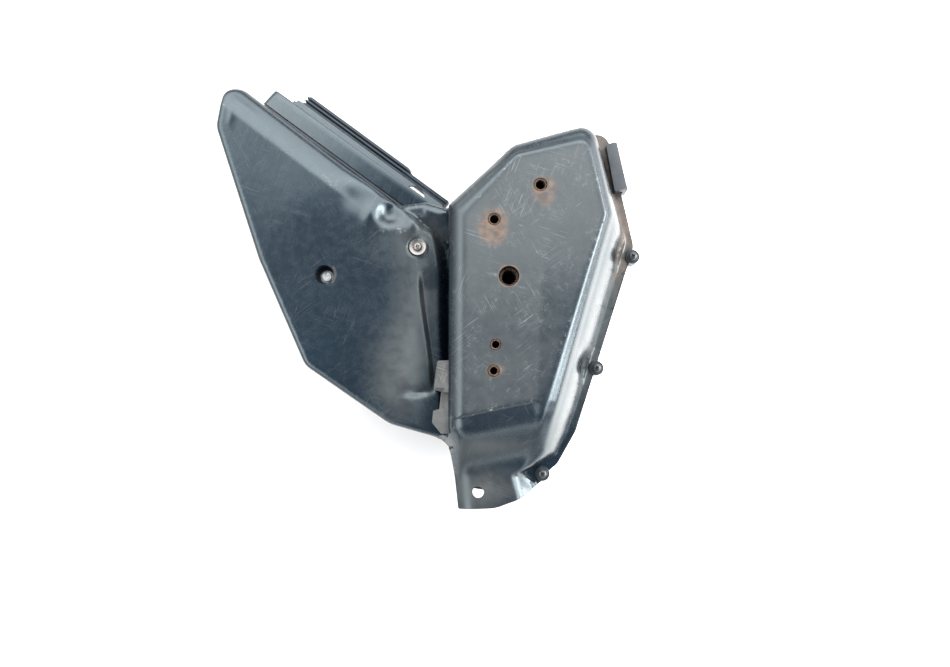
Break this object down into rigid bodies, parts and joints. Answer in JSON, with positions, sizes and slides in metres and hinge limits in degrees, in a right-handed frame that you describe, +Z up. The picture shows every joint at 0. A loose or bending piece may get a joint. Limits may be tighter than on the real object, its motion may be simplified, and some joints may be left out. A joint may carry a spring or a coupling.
{
  "type": "motorcycle air filter box",
  "caption": "V-shaped moulded air filter box with a slanted filter lid, ribbed intake seal, side mounting face and open lower duct.",
  "frame": {"origin": "on the axis of the big mounting sleeve, in the plane that the box rests on", "axes": "+Z up through the thickness, from the rest plane to the face with the mounting sleeve; +Y from the lower duct towards the notch between the lobes; +X towards the flange with three screws"},
  "size_m": [0.4309, 0.4397, 0.136],
  "materials": {
    "case_plastic": "satin moulded plastic, scuffed and dusty",
    "black_plastic": "satin moulded plastic",
    "rubber": "matt, dusty",
    "bright_steel": "zinc plated, lightly worn",
    "black_steel": "black oxide",
    "rusty_steel": "rusted",
    "filter_paper": "matt pleated paper"
  },
  "bodies": {
    "case": {"main_case": "case_plastic", "right_rear_cover": "black_plastic", "right_cover_seal": "rubber", "flange_screw_upper": "black_steel", "flange_screw_middle": "black_steel", "flange_screw_lower": "black_steel", "mount_sleeve": "rusty_steel", "threaded_insert_top": "rusty_steel", "threaded_insert_upper": "rusty_steel", "threaded_insert_lower": "rusty_steel", "threaded_insert_bottom": "rusty_steel", "recess_washer": "bright_steel", "recess_screw": "bright_steel", "dished_washer": "bright_steel", "dished_screw": "bright_steel", "left_rear_panel": "black_plastic", "left_panel_seal": "rubber", "rear_panel_screw_1": "black_steel", "rear_panel_screw_2": "black_steel", "rear_panel_screw_3": "black_steel", "rear_panel_screw_4": "black_steel", "outlet_boot": "rubber", "clamp_band": "bright_steel", "clamp_screw": "bright_steel", "clamp_nut": "bright_steel", "hose_clip": "black_plastic", "edge_rubber": "rubber"},
    "lid": {"filter_lid": "case_plastic", "lid_gasket": "rubber", "lid_screw_1": "black_steel", "lid_screw_2": "black_steel", "lid_screw_3": "black_steel", "lid_screw_4": "black_steel", "intake_seal": "rubber"},
    "element": {"element_frame": "black_plastic", "element_pleats": "filter_paper", "element_grid": "bright_steel"}
  },
  "joints": [
    {"name": "lid_lift", "type": "slide", "parent": "case", "child": "lid", "axis": [0.6032, 0.7976, 0], "range_m": [0, 0.12]},
    {"name": "element_pull", "type": "slide", "parent": "case", "child": "element", "axis": [0.6032, 0.7976, 0], "range_m": [0, 0.066]}
  ],
  "couplings": [
    {"joint": "element_pull", "follows": "lid_lift", "ratio": 0.55}
  ]
}
